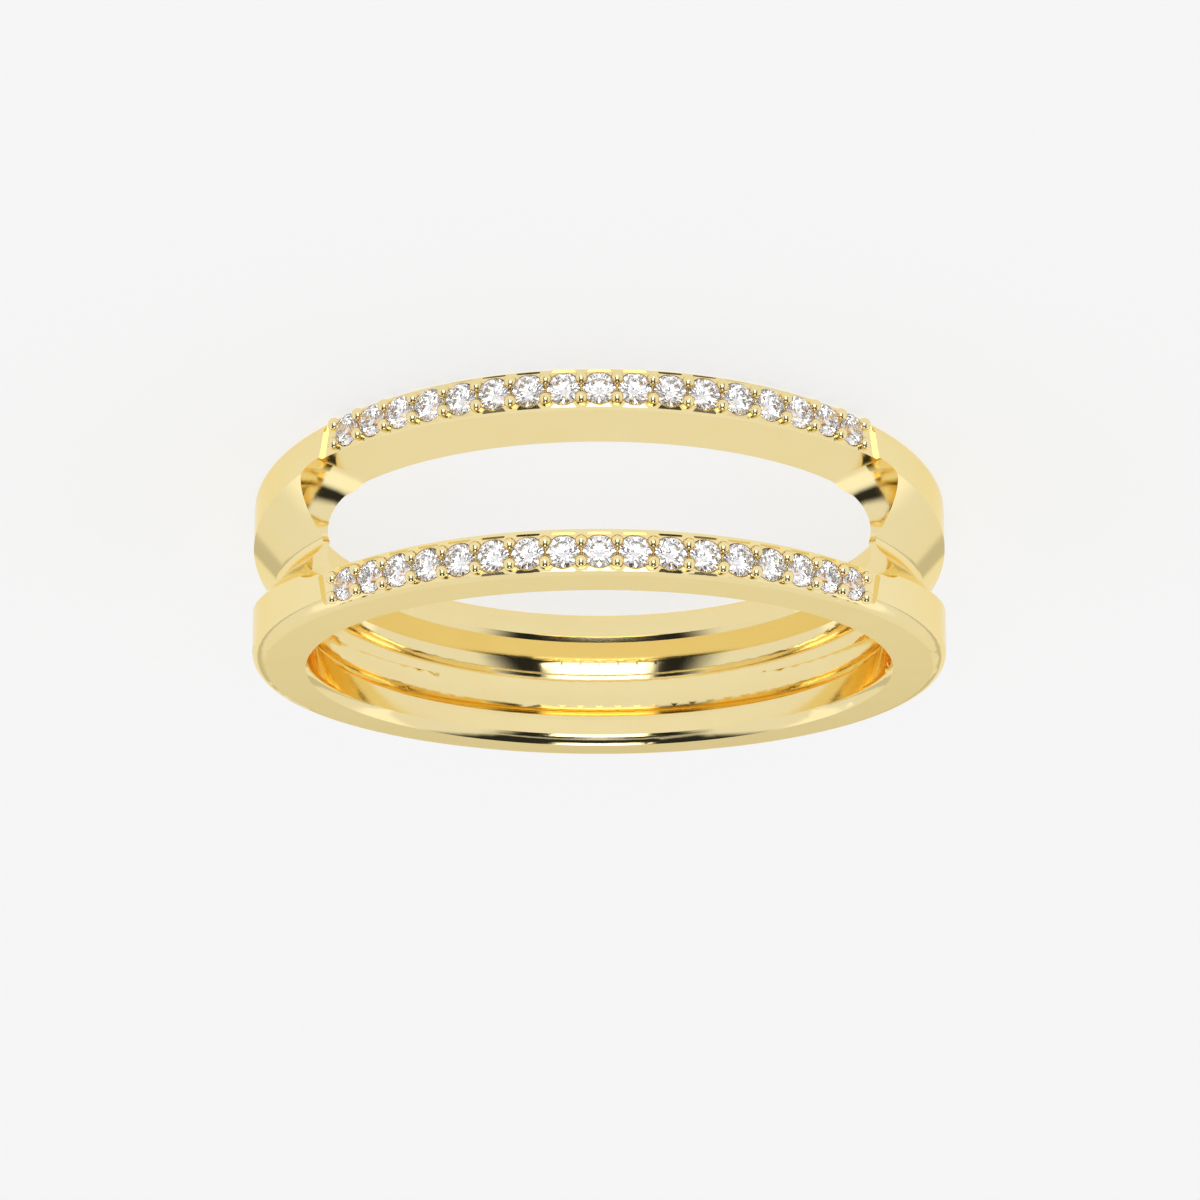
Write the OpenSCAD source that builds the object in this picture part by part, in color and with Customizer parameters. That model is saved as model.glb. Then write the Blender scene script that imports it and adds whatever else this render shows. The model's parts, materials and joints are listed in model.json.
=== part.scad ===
// A ring guard: two slim bands, each with a row of small round stones, joined by a web
// below the stones. A solitaire ring is worn in the open space between the bands.
// The ring lies on the side face of its rear band. The stones face -Y and the front band is on top.
// The origin is on the surface, under the middle of the ring's box.

/* [Finger hole] */
// Diameter of the finger hole
finger_d = 17.3; // [15:0.1:21]
// Radius of the soft edge at each mouth of the finger hole
mouth_round = 0.5; // [0.4:0.02:0.6]
// Width of the soft edge on the side face
mouth_w = 0.2; // [0.1:0.02:0.26]
// Slope at which the soft edge leaves the finger hole, in degrees
mouth_slope = 8; // [6:1:20]

/* [Bands] */
// Wall between the finger hole and the outside, at the left and right of the ring
side_wall = 1.8; // [1.7:0.02:2]
// How far the outside circle is moved towards the stones, which makes that side thicker
top_shift = 0.3; // [0.24:0.02:0.4]
// Half the width over the two side faces, level with the finger axis
half_width = 2.6; // [2.5:0.02:2.9]
// Lean of each side face, in degrees, which makes the ring wider at the stones
side_lean = 2.9; // [2.6:0.05:3.2]
// Rounding of the outer edges
edge_round = 0.4; // [0.2:0.02:0.5]
// Wall between the finger hole and the top of the crisp edge beside a row, at the middle stone
rail_wall = 2.1; // [2.08:0.01:2.14]
// How far the circle of the crisp edges is moved towards the stones
rail_shift = 0.84; // [0.7:0.02:0.9]
// Height of the bevel on the crisp edges
rail_bevel_h = 0.25; // [0.1:0.01:0.3]
// Width of the bevel on the crisp edges
rail_bevel_w = 0.05; // [0.03:0.01:0.1]

/* [Space between the bands] */
// Half the width of the space, at the finger hole
gap_half = 1.58; // [1.3:0.02:1.6]
// Slope of the inner faces, in degrees, which widens the space outwards
gap_flare = 6.8; // [3:0.1:7]
// Room between the end of a row and the middle of the space's round end, along the row
gap_end_room = 0.46; // [0.3:0.02:0.8]

/* [Web] */
// Wall between the finger hole and the bottom of the valley, at the ends of the space
web_wall = 0.5; // [0.4:0.02:0.6]
// How far the centre of the valley lies below the finger axis
valley_drop = 0.93; // [0.85:0.02:1.1]
// Rounding of the bottom of the valley
valley_round = 0.35; // [0.2:0.05:0.5]
// Slope of the valley's sides, in degrees
valley_slope = 43; // [40:1:48]
// Half the width of the hollow inside, between the two bands, at the bottom of the ring
hollow_half = 1.2; // [1.1:0.02:1.3]
// Slope of the hollow's sides, in degrees
hollow_slope = 58; // [54:1:64]
// Rounding of the hollow's bottom
hollow_round = 1.36; // [1.3:0.02:1.5]
// Width of the bevel between the hollow and the finger hole
hollow_bevel_w = 0.08; // [0.04:0.01:0.12]
// Slope of that bevel, in degrees
hollow_bevel_slope = 30; // [25:1:40]
// Wall that the hollow leaves at the bottom of the ring
hollow_floor = 0.55; // [0.4:0.02:0.8]
// Wall between the hollow and the valley, at the ends of the space
hollow_skin = 0.18; // [0.12:0.02:0.24]
// Lean of each half of the hollow, in degrees, which widens it towards the stones
hollow_lean = 2.2; // [1.5:0.1:2.5]

/* [Stones] */
// Number of stones in each row
stone_count = 17; // [9:1:17]
// Diameter of a stone
stone_d = 0.97; // [0.8:0.01:0.99]
// Distance between the middles of two stones
stone_pitch = 1.032; // [1.03:0.002:1.06]
// Air between a stone and the metal of its seat
seat_gap = 0.03; // [0.02:0.005:0.04]
// Width of a stone's table, as a share of its diameter
table_share = 0.57; // [0.5:0.01:0.62]
// Distance of the upper star tips from the middle, as a share of the stone's radius
star_share = 0.77; // [0.72:0.01:0.82]
// Distance of the lower tips from the middle, as a share of the stone's radius
lower_tip_share = 0.23; // [0.18:0.01:0.3]
// Height of a stone's crown, as a share of its diameter
crown_share = 0.15; // [0.12:0.01:0.17]
// Thickness of a stone's girdle, as a share of its diameter
girdle_share = 0.03; // [0.02:0.005:0.05]
// Depth of a stone's pavilion, as a share of its diameter
pavilion_share = 0.43; // [0.38:0.01:0.45]

/* [Setting] */
// Wall between the finger hole and the bottom of the cut-down place, at the middle stone
row_wall = 2.05; // [2:0.01:2.1]
// How far the circle of a row is moved towards the stones
row_shift = 0.48; // [0.4:0.02:0.56]
// Distance of a row from the middle of the ring, level with the finger axis
row_offset = 2.17; // [2.1:0.01:2.25]
// Lean of a row, in degrees
row_lean = 1.75; // [1.5:0.05:2.2]
// Height of a girdle's top above the bottom of the cut-down place
girdle_rise = 0.01; // [0:0.01:0.03]
// Room between the last beads and the end of the cut-down place
row_end_room = 0.51; // [0.3:0.01:0.6]
// Slant of the ends of the cut-down place, in degrees
row_end_slant = 14; // [0:1:20]
// Diameter of a bead
bead_d = 0.39; // [0.3:0.01:0.42]
// Distance of a bead from the middle line of its row
bead_offset = 0.3; // [0.27:0.01:0.32]
// Height of a bead's middle above the bottom of the cut-down place
bead_rise = 0.05; // [0.02:0.01:0.08]
// Diameter of the light hole behind each stone
light_hole_d = 0.46; // [0.3:0.02:0.5]
// Distance of a notch from the middle line of the row
notch_offset = 0.45; // [0.43:0.01:0.48]
// Width of a notch beside the stone
notch_w = 0.54; // [0.4:0.02:0.6]
// Length of a notch away from the stone
notch_reach = 0.12; // [0.08:0.01:0.16]
// A notch is wider at its far end by this much at each side
notch_flare = 0.1; // [0:0.02:0.12]
// Slope of a notch, in degrees
notch_slope = 22; // [15:1:30]

/* [Hidden] */
$fn = 96;
finger_r = finger_d / 2;
outer_r = finger_r + side_wall;
face_z = half_width * cos(side_lean);
// Past this radius a cutter is clear of the metal
clear_r = outer_r + top_shift + 1;
// A cutter's overshoot into open space
over = 1;
// Each half of the ring runs this far past the middle, so that the two halves are one
half_lap = 0.35;
// The centre of the soft edge's round, from the finger hole outwards and from the side face inwards
mouth_out = mouth_round * cos(mouth_slope);
mouth_in = sqrt(pow(mouth_round, 2) - pow(mouth_out - mouth_w, 2));
// The soft edge is centred on the finger axis at the depth of that centre
mouth_shift = mouth_in * tan(side_lean) - half_width * sin(side_lean);

stone_r = stone_d / 2;
girdle_h = girdle_share * stone_d;
crown_h = crown_share * stone_d;
pavilion_h = pavilion_share * stone_d;
rail_r = finger_r + rail_wall - rail_shift;
row_r = finger_r + row_wall - row_shift;
// The bottom of the girdles lies on this radius
girdle_r = row_r - girdle_h + girdle_rise;
pitch_angle = 2 * asin(stone_pitch / 2 / girdle_r);
row_reach = stone_count / 2 * pitch_angle;
row_end_angle = row_reach + row_end_room / row_r * 180 / PI;
row_z = row_offset * cos(row_lean);
// The slanted ends are cut from a place that is longer by this angle at each end
row_spare = 10;
// Cutters reach this far to either side of a row
row_cut_half = 3 * stone_d;

// Angle from the middle of the stones to the round end of the space
gap_reach = row_reach + gap_end_room / row_r * 180 / PI;
// The valley starts inside the space between the bands, this angle before the space ends
valley_lap = 10;
valley_start = gap_reach - valley_lap;
valley_spread = 90 - valley_slope;
valley_h = side_wall + top_shift + over;
// The valley's circle passes the ends of the space at the wall's distance from the finger hole
valley_r = norm([finger_r + web_wall + valley_drop * cos(gap_reach), valley_drop * sin(gap_reach)]);

// The two halves of the hollow have moved apart by this much at the ends of the space
hollow_shift = (outer_r + finger_r * cos(gap_reach)) * sin(hollow_lean);
// How far the hollow reaches from the finger axis, at the bottom of the ring and at the ends of the space
hollow_reach = finger_r + side_wall - top_shift - hollow_floor;
hollow_end_reach = finger_r + web_wall - hollow_skin
    + hollow_round - sqrt(pow(hollow_round, 2) - pow(hollow_shift, 2));
// The hollow's centre lies below the finger axis by this much
hollow_drop = (hollow_reach - hollow_end_reach) / (1 + cos(gap_reach));
hollow_r = hollow_reach - hollow_drop;

// The tips of a brilliant's facets lie half a corner round from the corners of its table
tip_turn = 360 / 16;
table_r = table_share * stone_r;
star_r = star_share * stone_r;
star_z = girdle_h + crown_h * (stone_r - star_r * cos(tip_turn)) / (stone_r - table_r);
lower_tip_r = lower_tip_share * stone_r;
lower_tip_z = -pavilion_h * (1 - lower_tip_r * cos(tip_turn) / stone_r);
// The seat is the stone's outline, moved outwards by the air gap
seat_r = stone_r + seat_gap;
pavilion_slope = pavilion_h / stone_r;
crown_slope = crown_h / (stone_r - table_r);
seat_bottom = -pavilion_h - seat_gap * norm([1, pavilion_slope]);
seat_top = girdle_h + crown_h + seat_gap * norm([1, crown_slope]);
// The cutter of a notch is this high
notch_h = stone_r;

// The lying ring reaches from the beads of the rear row to the outside of the front band
bead_r = bead_d / 2;
bead_circle = row_r + bead_rise;
near_bead = bead_circle * cos(stone_count % 2 * pitch_angle / 2) + row_shift;
near_y = -near_bead * cos(row_lean - side_lean) + (row_z + bead_offset) * sin(row_lean - side_lean) - bead_r;
far_edge = outer_r - edge_round - top_shift;
far_y = far_edge * cos(2 * side_lean) + (face_z - edge_round) * sin(2 * side_lean) + edge_round;
middle_y = (near_y + far_y) / 2;

function two_digits(i) = str(i < 10 ? "0" : "", i);
function stone_name(row, i) = str("stone_", row, "_", two_digits(i));
ROWS = ["front", "rear"];

// Lays the ring from its own frame, with Z along the finger, on the side face of the rear band
module laid() {
    translate([0, -middle_y, face_z]) rotate([-side_lean, 0, 0]) children();
}

module front_and_rear() {
    children();
    mirror([0, 0, 1]) children();
}

// Turns +X to the direction at an angle from the middle of the stones
module at_angle(a) {
    rotate([0, 0, a - 90]) children();
}

module in_band() {
    rotate([-side_lean, 0, 0]) translate([0, -top_shift, 0]) children();
}

module in_row() {
    rotate([-row_lean, 0, 0]) translate([0, -row_shift, row_z]) children();
}

// Places its children on each stone of a row, with Z pointing out of the ring
module at_stone(i) {
    at_angle((i - (stone_count + 1) / 2) * pitch_angle)
        translate([girdle_r, 0, 0]) rotate([0, 90, 0]) children();
}

// One half of the ring: a hoop with a flat side face and a round outer edge
module half_hoop() {
    rotate_extrude() {
        translate([finger_r - over, -half_lap])
            square([outer_r - edge_round - finger_r + over, face_z + half_lap]);
        translate([finger_r - over, -half_lap])
            square([outer_r - finger_r + over, face_z - edge_round + half_lap]);
        translate([outer_r - edge_round, face_z - edge_round]) circle(edge_round);
    }
}

// The crisp edge beside a row of stones, which fades into the round edge past the row's ends
module rail() {
    rotate([-side_lean, 0, 0]) translate([0, -rail_shift, 0])
        rotate_extrude() polygon([
            [finger_r - over, -half_lap],
            [rail_r, -half_lap],
            [rail_r, face_z - rail_bevel_w],
            [rail_r - rail_bevel_h, face_z],
            [finger_r - over, face_z],
        ]);
}

module finger_hole() {
    cylinder(r = finger_r, h = 2 * clear_r, center = true);
}

// Takes the sharp edge off a mouth of the finger hole
module mouth_edge() {
    rotate([-side_lean, 0, 0])
        translate([0, mouth_shift, face_z])
            rotate_extrude() difference() {
                translate([finger_r - over / 2, -mouth_in])
                    square([mouth_out + over / 2, mouth_in + over / 2]);
                translate([finger_r + mouth_out, -mouth_in]) circle(mouth_round);
            }
}

function gap_half_at(r) = gap_half + (r - finger_r) * tan(gap_flare);

// The open space between the two rows of stones, with round ends
module gap() {
    inner = finger_r - over;
    at_angle(-gap_reach) rotate_extrude(angle = 2 * gap_reach)
        polygon([
            [inner, -gap_half_at(inner)],
            [clear_r, -gap_half_at(clear_r)],
            [clear_r, gap_half_at(clear_r)],
            [inner, gap_half_at(inner)],
        ]);
    for (side = [-1, 1]) at_angle(side * gap_reach)
        translate([inner, 0, 0]) rotate([0, 90, 0])
            cylinder(h = clear_r - inner, r1 = gap_half_at(inner), r2 = gap_half_at(clear_r));
}

// The valley outside, which is deep below the stones and runs out towards the bottom
module valley() {
    foot = valley_round * cos(valley_spread);
    foot_r = valley_r + valley_round * (1 - sin(valley_spread));
    translate([0, valley_drop, 0])
        at_angle(valley_start) rotate_extrude(angle = 360 - 2 * valley_start) {
            polygon([
                [foot_r, -foot],
                [foot_r + valley_h, -foot - valley_h * tan(valley_spread)],
                [foot_r + valley_h, foot + valley_h * tan(valley_spread)],
                [foot_r, foot],
            ]);
            translate([valley_r + valley_round, 0]) circle(valley_round);
        }
}

// The outline of the hollow: straight sides that would meet in a tip, a round bottom and a bevel
module hollow_outline() {
    inner = finger_r - hollow_drop;
    side_cot = 1 / tan(hollow_slope);
    bevel_cot = 1 / tan(hollow_bevel_slope);
    bevel_h = hollow_bevel_w / (bevel_cot - side_cot);
    open_half = hollow_half + hollow_bevel_w + over * bevel_cot;
    bevel_half = hollow_half - bevel_h * side_cot;
    tip = inner + hollow_half * tan(hollow_slope);
    intersection() {
        translate([hollow_r - hollow_round, 0]) circle(hollow_round);
        polygon([
            [inner - over, -open_half],
            [inner + bevel_h, -bevel_half],
            [tip, 0],
            [inner + bevel_h, bevel_half],
            [inner - over, open_half],
        ]);
    }
}

// One half of the hollow inside the web, leaning like the bands do
module half_hollow() {
    pivot = outer_r;
    translate([0, pivot, 0]) rotate([-hollow_lean, 0, 0]) translate([0, hollow_drop - pivot, 0])
        rotate_extrude() hollow_outline();
}

// The cut-down place that holds a row of stones, with slanted ends
module row_place() {
    reach = row_end_angle + row_spare;
    difference() {
        at_angle(-reach) rotate_extrude(angle = 2 * reach)
            translate([row_r, -stone_d]) square([clear_r - row_r, stone_d + row_cut_half]);
        for (side = [0, 1]) mirror([side, 0, 0])
            at_angle(row_end_angle) translate([row_r, 0, 0]) rotate([row_end_slant, 0, 0])
                translate([-over, 0, -row_cut_half]) cube([clear_r, clear_r, 2 * row_cut_half]);
    }
}

// A notch beside a stone, with a floor that slopes down towards the crisp edge
module notch() {
    near_half = notch_w / 2;
    far_half = near_half + notch_flare;
    translate([row_r - girdle_r, 0, notch_offset])
        rotate([0, -90 - notch_slope, 0]) translate([0, 0, -notch_h])
            linear_extrude(notch_h)
                polygon([
                    [0, -near_half],
                    [notch_reach, -far_half],
                    [notch_reach, far_half],
                    [0, near_half],
                ]);
}

module notches() {
    for (i = [1 : stone_count]) at_angle((i - (stone_count + 1) / 2) * pitch_angle)
        translate([girdle_r, 0, 0]) for (side = [0, 1]) mirror([0, 0, side]) notch();
}

// A stone's seat with the light hole behind it
module seat() {
    rotate_extrude() polygon([
        [0, seat_bottom],
        [seat_r, seat_bottom + seat_r * pavilion_slope],
        [seat_r, seat_top - (seat_r - table_r) * crown_slope],
        [table_r, seat_top],
        [table_r, seat_top + over],
        [0, seat_top + over],
    ]);
    translate([0, 0, finger_r - girdle_r - over])
        cylinder(d = light_hole_d, h = girdle_r - finger_r + over - pavilion_h / 2);
}

module beads() {
    for (i = [0 : stone_count]) at_angle((i - stone_count / 2) * pitch_angle)
        for (side = [-1, 1]) translate([bead_circle, 0, side * bead_offset])
            rotate([0, 90, 0]) sphere(bead_r);
}

module ring() {
    color("gold") laid() difference() {
        union() {
            difference() {
                union() {
                    front_and_rear() in_band() half_hoop();
                    front_and_rear() rail();
                }
                finger_hole();
                front_and_rear() mouth_edge();
                gap();
                valley();
                front_and_rear() half_hollow();
                front_and_rear() in_row() row_place();
                front_and_rear() in_row() notches();
            }
            front_and_rear() in_row() beads();
        }
        front_and_rear() in_row() for (i = [1 : stone_count]) at_stone(i) seat();
    }
}

function circle_points(count, r, z, first) =
    [for (i = [0 : count - 1]) [r * cos(first + i * 360 / count), r * sin(first + i * 360 / count), z]];

// A round brilliant: its table is up and the bottom of its girdle is at Z = 0
module brilliant() {
    table = 0;
    star = 8;
    girdle_top = 16;
    girdle = 32;
    tip = 48;
    culet = 56;
    points = concat(
        circle_points(8, table_r, girdle_h + crown_h, 0),
        circle_points(8, star_r, star_z, tip_turn),
        circle_points(16, stone_r, girdle_h, 0),
        circle_points(16, stone_r, 0, 0),
        circle_points(8, lower_tip_r, lower_tip_z, tip_turn),
        [[0, 0, -pavilion_h]]
    );
    faces = concat(
        [[for (i = [7 : -1 : 0]) table + i]],
        [for (i = [0 : 7]) let (next = (i + 1) % 8) [table + i, table + next, star + i]],
        [for (i = [0 : 7]) let (last = (i + 7) % 8)
            [table + i, star + i, girdle_top + 2 * i, star + last]],
        [for (i = [0 : 7]) [star + i, girdle_top + 2 * i + 1, girdle_top + 2 * i]],
        [for (i = [0 : 7]) [star + i, girdle_top + (2 * i + 2) % 16, girdle_top + 2 * i + 1]],
        [for (i = [0 : 15]) let (next = (i + 1) % 16)
            [girdle_top + i, girdle_top + next, girdle + next, girdle + i]],
        [for (i = [0 : 7]) [girdle + 2 * i, girdle + 2 * i + 1, tip + i]],
        [for (i = [0 : 7]) [girdle + 2 * i + 1, girdle + (2 * i + 2) % 16, tip + i]],
        [for (i = [0 : 7]) let (last = (i + 7) % 8)
            [culet, tip + last, girdle + 2 * i, tip + i]]
    );
    polyhedron(points, faces);
}

module stone(row, i) {
    color("white") laid() mirror([0, 0, row == "rear" ? 1 : 0]) in_row() at_stone(i) brilliant();
}

ring();
for (row = ROWS) for (i = [1 : stone_count])
    stone(row, i);
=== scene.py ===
"""A yellow gold ring guard, lying on its side on a pale studio floor.

Two slim bands are joined by a web below the stones, and each band holds a row of small round brilliants.
All places are in metres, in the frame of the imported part: +Z is up and the stones face -Y.
"""

import json
import logging
import math
from dataclasses import dataclass
from enum import Enum

import bpy
from mathutils import Matrix, Vector

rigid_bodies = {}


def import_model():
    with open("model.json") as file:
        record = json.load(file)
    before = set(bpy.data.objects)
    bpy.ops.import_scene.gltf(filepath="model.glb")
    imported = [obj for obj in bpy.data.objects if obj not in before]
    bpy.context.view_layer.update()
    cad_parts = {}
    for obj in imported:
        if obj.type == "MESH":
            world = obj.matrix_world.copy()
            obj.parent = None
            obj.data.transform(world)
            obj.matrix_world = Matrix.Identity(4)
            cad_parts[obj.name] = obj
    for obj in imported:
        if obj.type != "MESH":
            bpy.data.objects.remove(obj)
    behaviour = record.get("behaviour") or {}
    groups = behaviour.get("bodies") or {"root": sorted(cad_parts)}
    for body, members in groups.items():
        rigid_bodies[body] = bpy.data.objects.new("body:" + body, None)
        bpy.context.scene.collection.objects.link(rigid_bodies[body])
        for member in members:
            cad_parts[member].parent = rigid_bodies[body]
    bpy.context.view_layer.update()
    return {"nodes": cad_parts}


MM = 0.001
# Light goes to and fro this often in the hollow and in the stones
LIGHT_BOUNCES = 20
log = logging.getLogger("ring_guard")


class Band(Enum):
    """The two bands of the ring guard, by the word in their stones' node names."""

    FRONT = "front"
    REAR = "rear"


class NodeSheet:
    """A small helper that lays out shader nodes and joins them."""

    def __init__(self, tree: bpy.types.NodeTree) -> None:
        """Empties the tree.

        Args:
            tree: The node tree of a material or of the world.
        """
        self.tree = tree
        tree.nodes.clear()

    def add(self, kind: str, **values: object) -> bpy.types.Node:
        """Adds one node.

        Args:
            kind: The node's type name, such as ShaderNodeMath.
            values: Attributes of the node, set by name.

        Returns:
            The new node.
        """
        node = self.tree.nodes.new(kind)
        for name, value in values.items():
            setattr(node, name, value)
        return node

    def join(self, source: bpy.types.NodeSocket, target: bpy.types.NodeSocket) -> None:
        """Joins an output to an input."""
        self.tree.links.new(source, target)

    def math(self, operation: str, first: object, second: object = None) -> bpy.types.NodeSocket:
        """Adds a Math node.

        Args:
            operation: The name of the operation, such as MULTIPLY.
            first: A number or an output socket.
            second: A number or an output socket, where the operation has two.

        Returns:
            The node's output.
        """
        node = self.add("ShaderNodeMath", operation=operation)
        for place, value in enumerate((first, second)):
            if isinstance(value, bpy.types.NodeSocket):
                self.join(value, node.inputs[place])
            elif value is not None:
                node.inputs[place].default_value = value
        return node.outputs[0]

    def rise(self, value: bpy.types.NodeSocket, start: float, end: float) -> bpy.types.NodeSocket:
        """Adds a smooth step.

        Args:
            value: The output that is measured.
            start: The value where the step is still 0.
            end: The value where the step has reached 1.

        Returns:
            An output from 0 to 1.
        """
        node = self.add("ShaderNodeMapRange", interpolation_type="SMOOTHSTEP")
        node.inputs["From Min"].default_value = start
        node.inputs["From Max"].default_value = end
        self.join(value, node.inputs["Value"])
        return node.outputs["Result"]

    def between(
        self, value: bpy.types.NodeSocket, low: float, high: float, soft: float
    ) -> bpy.types.NodeSocket:
        """Marks a stretch of values.

        Args:
            value: The output that is measured.
            low: The middle of the stretch's lower edge.
            high: The middle of the stretch's upper edge.
            soft: The width of each edge.

        Returns:
            An output that is 1 inside the stretch and 0 outside.
        """
        up = self.rise(value, low - soft / 2, low + soft / 2)
        down = self.rise(value, high - soft / 2, high + soft / 2)
        return self.math("SUBTRACT", up, down)


@dataclass(frozen=True)
class YellowGold:
    """Polished yellow gold with the faint hairlines and the slight waviness of hand polishing."""

    colour: tuple[float, float, float] = (0.96, 0.82, 0.46)
    deep_colour: tuple[float, float, float] = (0.94, 0.78, 0.40)
    edge_tint: tuple[float, float, float] = (0.99, 0.90, 0.64)
    polish: float = 0.045
    worn_polish: float = 0.11
    hairline_width: float = 0.05 * MM
    hairline_depth: float = 0.0006 * MM
    hairline_detail: float = 4.0
    hairline_twist: float = 0.6
    wave_length: float = 1.6 * MM
    wave_depth: float = 0.0012 * MM
    wave_detail: float = 1.0

    def material(self) -> bpy.types.Material:
        """Makes the finish.

        Returns:
            The new material.
        """
        material = bpy.data.materials.new("polished_yellow_gold")
        material.use_nodes = True
        sheet = NodeSheet(material.node_tree)
        place = sheet.add("ShaderNodeTexCoord").outputs["Object"]

        hairline = sheet.add("ShaderNodeTexNoise")
        hairline.inputs["Scale"].default_value = 1 / self.hairline_width
        hairline.inputs["Detail"].default_value = self.hairline_detail
        hairline.inputs["Distortion"].default_value = self.hairline_twist
        sheet.join(place, hairline.inputs["Vector"])

        wave = sheet.add("ShaderNodeTexNoise")
        wave.inputs["Scale"].default_value = 1 / self.wave_length
        wave.inputs["Detail"].default_value = self.wave_detail
        sheet.join(place, wave.inputs["Vector"])

        tone = sheet.add("ShaderNodeMix", data_type="RGBA")
        tone.inputs["A"].default_value = (*self.colour, 1)
        tone.inputs["B"].default_value = (*self.deep_colour, 1)
        sheet.join(wave.outputs["Fac"], tone.inputs["Factor"])

        spread = self.worn_polish - self.polish
        worn = sheet.math("MULTIPLY", hairline.outputs["Fac"], spread)
        roughness = sheet.math("ADD", worn, self.polish)

        wave_bump = sheet.add("ShaderNodeBump")
        wave_bump.inputs["Distance"].default_value = self.wave_depth
        sheet.join(wave.outputs["Fac"], wave_bump.inputs["Height"])
        hairline_bump = sheet.add("ShaderNodeBump")
        hairline_bump.inputs["Distance"].default_value = self.hairline_depth
        sheet.join(hairline.outputs["Fac"], hairline_bump.inputs["Height"])
        sheet.join(wave_bump.outputs["Normal"], hairline_bump.inputs["Normal"])

        metal = sheet.add("ShaderNodeBsdfPrincipled")
        metal.inputs["Metallic"].default_value = 1
        metal.inputs["Specular Tint"].default_value = (*self.edge_tint, 1)
        sheet.join(tone.outputs["Result"], metal.inputs["Base Color"])
        sheet.join(roughness, metal.inputs["Roughness"])
        sheet.join(hairline_bump.outputs["Normal"], metal.inputs["Normal"])
        output = sheet.add("ShaderNodeOutputMaterial")
        sheet.join(metal.outputs["BSDF"], output.inputs["Surface"])
        return material


@dataclass(frozen=True)
class ClearStone:
    """A clear, colourless brilliant with a very faint cloudiness inside."""

    refraction: float = 2.42
    clear_tint: tuple[float, float, float] = (0.985, 0.985, 1.0)
    cloud_tint: tuple[float, float, float] = (0.95, 0.95, 1.0)
    cloud_size: float = 0.25 * MM

    def material(self) -> bpy.types.Material:
        """Makes the finish.

        Returns:
            The new material.
        """
        material = bpy.data.materials.new("clear_brilliant")
        material.use_nodes = True
        sheet = NodeSheet(material.node_tree)
        place = sheet.add("ShaderNodeTexCoord").outputs["Object"]
        cloud = sheet.add("ShaderNodeTexNoise")
        cloud.inputs["Scale"].default_value = 1 / self.cloud_size
        sheet.join(place, cloud.inputs["Vector"])
        tint = sheet.add("ShaderNodeMix", data_type="RGBA")
        tint.inputs["A"].default_value = (*self.clear_tint, 1)
        tint.inputs["B"].default_value = (*self.cloud_tint, 1)
        sheet.join(cloud.outputs["Fac"], tint.inputs["Factor"])
        stone = sheet.add("ShaderNodeBsdfPrincipled")
        stone.inputs["Roughness"].default_value = 0
        stone.inputs["IOR"].default_value = self.refraction
        stone.inputs["Transmission Weight"].default_value = 1
        sheet.join(tint.outputs["Result"], stone.inputs["Base Color"])
        output = sheet.add("ShaderNodeOutputMaterial")
        sheet.join(stone.outputs["BSDF"], output.inputs["Surface"])
        return material


@dataclass(frozen=True)
class StudioFloor:
    """A matt white floor that glows a little, as a lit table does, so that shadows on it stay faint."""

    glow: float = 0.715
    matt: float = 0.28

    def material(self) -> bpy.types.Material:
        """Makes the finish.

        Returns:
            The new material.
        """
        material = bpy.data.materials.new("lit_table")
        material.use_nodes = True
        sheet = NodeSheet(material.node_tree)
        matt = sheet.add("ShaderNodeBsdfDiffuse")
        matt.inputs["Color"].default_value = (self.matt, self.matt, self.matt, 1)
        glow = sheet.add("ShaderNodeEmission")
        glow.inputs["Strength"].default_value = self.glow
        both = sheet.add("ShaderNodeAddShader")
        sheet.join(matt.outputs["BSDF"], both.inputs[0])
        sheet.join(glow.outputs["Emission"], both.inputs[1])
        output = sheet.add("ShaderNodeOutputMaterial")
        sheet.join(both.outputs["Shader"], output.inputs["Surface"])
        return material


def dress(node: bpy.types.Object, finish: bpy.types.Material) -> None:
    """Gives every material slot of a CAD node one finish.

    Args:
        node: The node's object.
        finish: The material.
    """
    for slot in node.material_slots:
        slot.material = finish


@dataclass
class GoldRing:
    """The cast ring: both bands, the web, the seats and the beads, which are one piece of gold."""

    node_name: str = "ring"
    finish: YellowGold = YellowGold()

    def build(self, nodes: dict[str, bpy.types.Object]) -> int:
        """Dresses the ring.

        Args:
            nodes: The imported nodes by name.

        Returns:
            The number of nodes dressed.
        """
        dress(nodes[self.node_name], self.finish.material())
        return 1


@dataclass
class StoneRow:
    """One row of small brilliants in the top of a band."""

    band: Band
    finish: bpy.types.Material

    def build(self, nodes: dict[str, bpy.types.Object]) -> int:
        """Dresses each stone of the row.

        Args:
            nodes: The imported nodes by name.

        Returns:
            The number of stones.
        """
        names = [name for name in sorted(nodes) if name.startswith(f"stone_{self.band.value}_")]
        for name in names:
            dress(nodes[name], self.finish)
        return len(names)


@dataclass(frozen=True)
class LightCard:
    """A softbox, a black flag or a brighter or darker band of the studio, as a patch of sky.

    Its place is by the angle up from the horizon in front of the stones, over the ring and down behind it,
    and by the share of the direction that points to the side. Without side limits it goes all the way across.
    """

    name: str
    strength: float
    low_angle: float
    high_angle: float
    side_from: float = -1.0
    side_to: float = 1.5
    soft_angle: float = 4.0
    soft_side: float = 0.06


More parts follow.
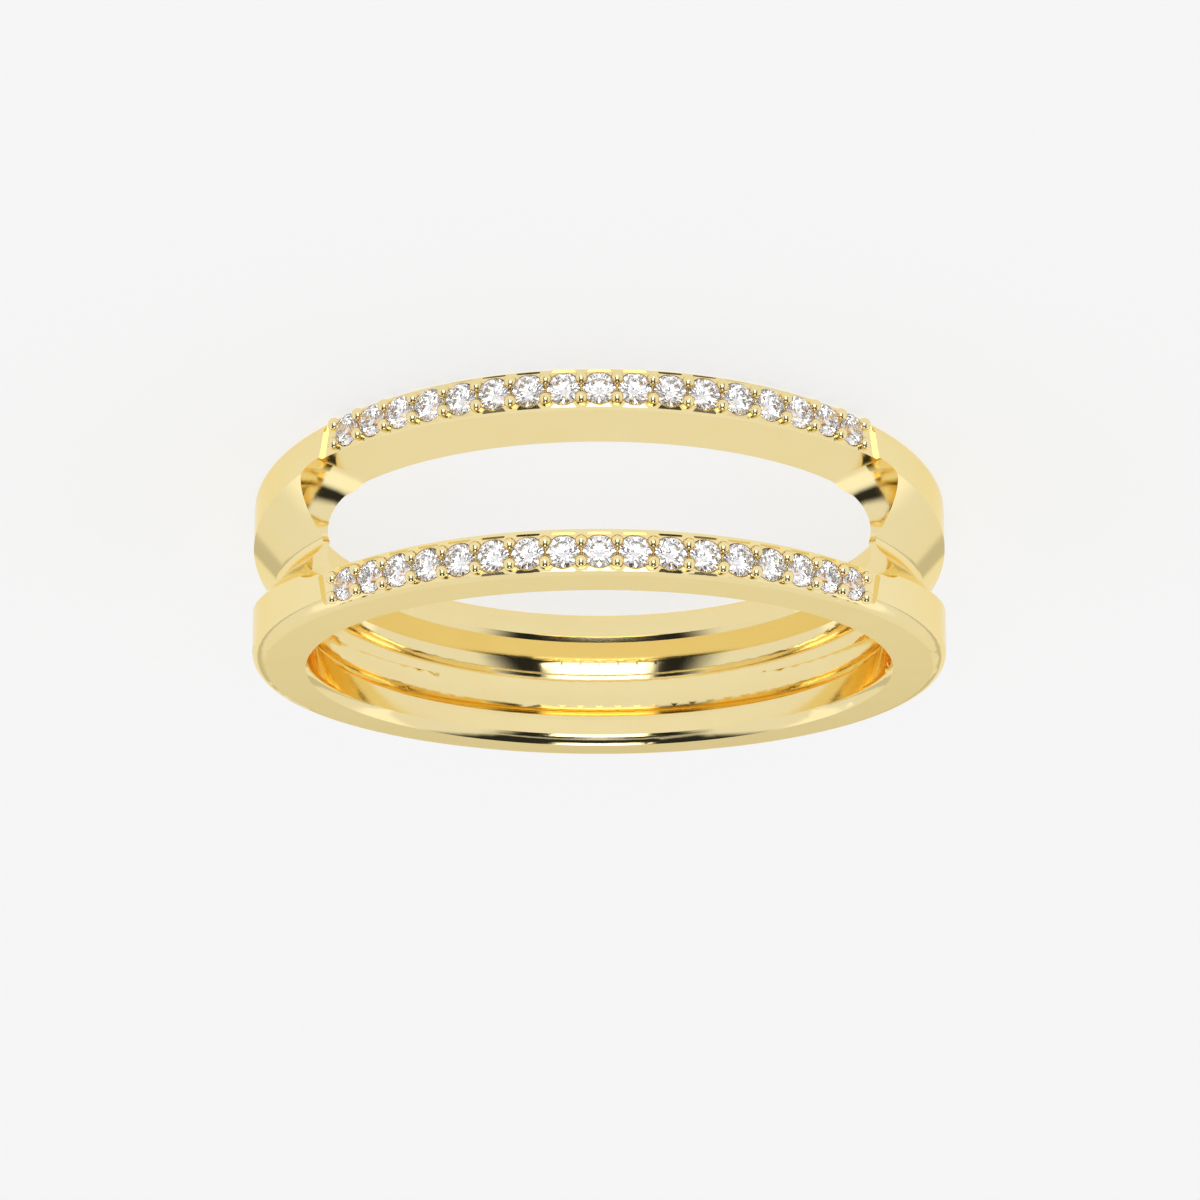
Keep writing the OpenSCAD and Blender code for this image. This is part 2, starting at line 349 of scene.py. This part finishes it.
@dataclass
class Studio:
    """The floor and the soft light around it, where a later card covers the earlier ones."""

    floor_half: float = 1.5
    finish: StudioFloor = StudioFloor()
    sky_strength: float = 1.07
    cards: tuple[LightCard, ...] = (
        LightCard("darker foot of the backdrop", 0.76, 171.0, 190.0, soft_angle=3.2),
        LightCard("bright band over the backdrop", 1.35, 112.0, 140.0, soft_angle=12.0),
        LightCard(
            "flags beside the front softbox", 0.02, -4.0, 52.0,
            side_from=0.10, side_to=0.60, soft_angle=12.0, soft_side=0.24,
        ),
        LightCard("flag over the front softbox", 0.04, 38.0, 43.0, side_to=0.36, soft_side=0.12),
        LightCard("front softbox", 3.0, -2.0, 38.0, side_to=0.32, soft_side=0.10),
        LightCard("flag over the ring", 0.03, 56.0, 106.0, side_to=0.58, soft_angle=10.0, soft_side=0.16),
        LightCard("top softbox", 3.2, 75.0, 91.0, side_to=0.18),
    )

    def build_floor(self) -> bpy.types.Object:
        """Builds the floor at Z = 0, where the ring lies.

        Returns:
            The floor's object.
        """
        half = self.floor_half
        corners = [(-half, -half, 0), (half, -half, 0), (half, half, 0), (-half, half, 0)]
        mesh = bpy.data.meshes.new("floor")
        mesh.from_pydata(corners, [], [(0, 1, 2, 3)])
        mesh.materials.append(self.finish.material())
        floor = bpy.data.objects.new("floor", mesh)
        bpy.context.scene.collection.objects.link(floor)
        return floor

    def build_sky(self) -> bpy.types.World:
        """Lights the studio from all round, with each card as a patch of the sky.

        Returns:
            The world that holds the sky.
        """
        world = bpy.data.worlds.new("studio_light")
        bpy.context.scene.world = world
        world.use_nodes = True
        sheet = NodeSheet(world.node_tree)
        direction = sheet.add("ShaderNodeSeparateXYZ")
        sheet.join(sheet.add("ShaderNodeTexCoord").outputs["Generated"], direction.inputs["Vector"])
        side = sheet.math("ABSOLUTE", direction.outputs["X"])
        forward = sheet.math("MULTIPLY", direction.outputs["Y"], -1.0)
        angle = sheet.math("DEGREES", sheet.math("ARCTAN2", direction.outputs["Z"], forward))
        level: float | bpy.types.NodeSocket = self.sky_strength
        for card in self.cards:
            tall = sheet.between(angle, card.low_angle, card.high_angle, card.soft_angle)
            wide = sheet.between(side, card.side_from, card.side_to, card.soft_side)
            patch = sheet.math("MULTIPLY", tall, wide)
            change = sheet.math("MULTIPLY", patch, sheet.math("SUBTRACT", card.strength, level))
            level = sheet.math("ADD", level, change)
            log.info("studio: %s", card.name)
        background = sheet.add("ShaderNodeBackground")
        sheet.join(level, background.inputs["Strength"])
        output = sheet.add("ShaderNodeOutputWorld")
        sheet.join(background.outputs["Background"], output.inputs["Surface"])
        return world


@dataclass
class PhotoCamera:
    """A long lens that looks down at the ring from the stones' side, turned so that the stones are up.

    angle_to_finger is the angle between the line of sight and the finger axis, and lean is how far that
    axis stands off upright in the lying ring. aim_right and aim_down shift the aim off the ring's centre.
    """

    lens: float = 198.18
    sensor: float = 36.0
    distance: float = 200 * MM
    near_clip: float = 5 * MM
    angle_to_finger: float = 71.16
    lean: float = 2.9
    ring_centre: tuple[float, float, float] = (0.0, 0.3286 * MM, 2.5967 * MM)
    aim_right: float = 0.0212 * MM
    aim_down: float = 0.324 * MM

    def build(self) -> bpy.types.Object:
        """Places the camera and makes it the scene's own.

        Returns:
            The camera's object.
        """
        angle = math.radians(self.angle_to_finger - self.lean)
        towards = Vector((0, -math.sin(angle), math.cos(angle)))
        right = Vector((-1, 0, 0))
        up = towards.cross(right)
        aim = Vector(self.ring_centre) + self.aim_right * right - self.aim_down * up
        camera = bpy.data.objects.new("photo_camera", bpy.data.cameras.new("photo_camera"))
        camera.data.lens = self.lens
        camera.data.sensor_width = self.sensor
        camera.data.clip_start = self.near_clip
        turn = Matrix((right, up, towards)).transposed().to_4x4()
        camera.matrix_world = Matrix.Translation(aim + self.distance * towards) @ turn
        bpy.context.scene.collection.objects.link(camera)
        bpy.context.scene.camera = camera
        return camera


def main() -> None:
    """Builds the studio and dresses each piece of the ring guard in order."""
    logging.basicConfig(level=logging.INFO, format="%(name)s: %(message)s")
    for leftover in list(bpy.data.objects):
        bpy.data.objects.remove(leftover)
    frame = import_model()
    nodes = frame["nodes"]
    scene = bpy.context.scene
    scene.view_settings.view_transform = "Standard"
    scene.cycles.max_bounces = LIGHT_BOUNCES
    scene.cycles.glossy_bounces = LIGHT_BOUNCES
    scene.cycles.transmission_bounces = LIGHT_BOUNCES

    studio = Studio()
    log.info("%s: built", studio.build_floor().name)
    log.info("%s: built", studio.build_sky().name)
    log.info("%s: in place", PhotoCamera().build().name)
    log.info("ring: %d node dressed", GoldRing().build(nodes))
    brilliant = ClearStone().material()
    for band in Band:
        log.info("stones of the %s band: %d dressed", band.value, StoneRow(band, brilliant).build(nodes))


if __name__ == "__main__":
    main()
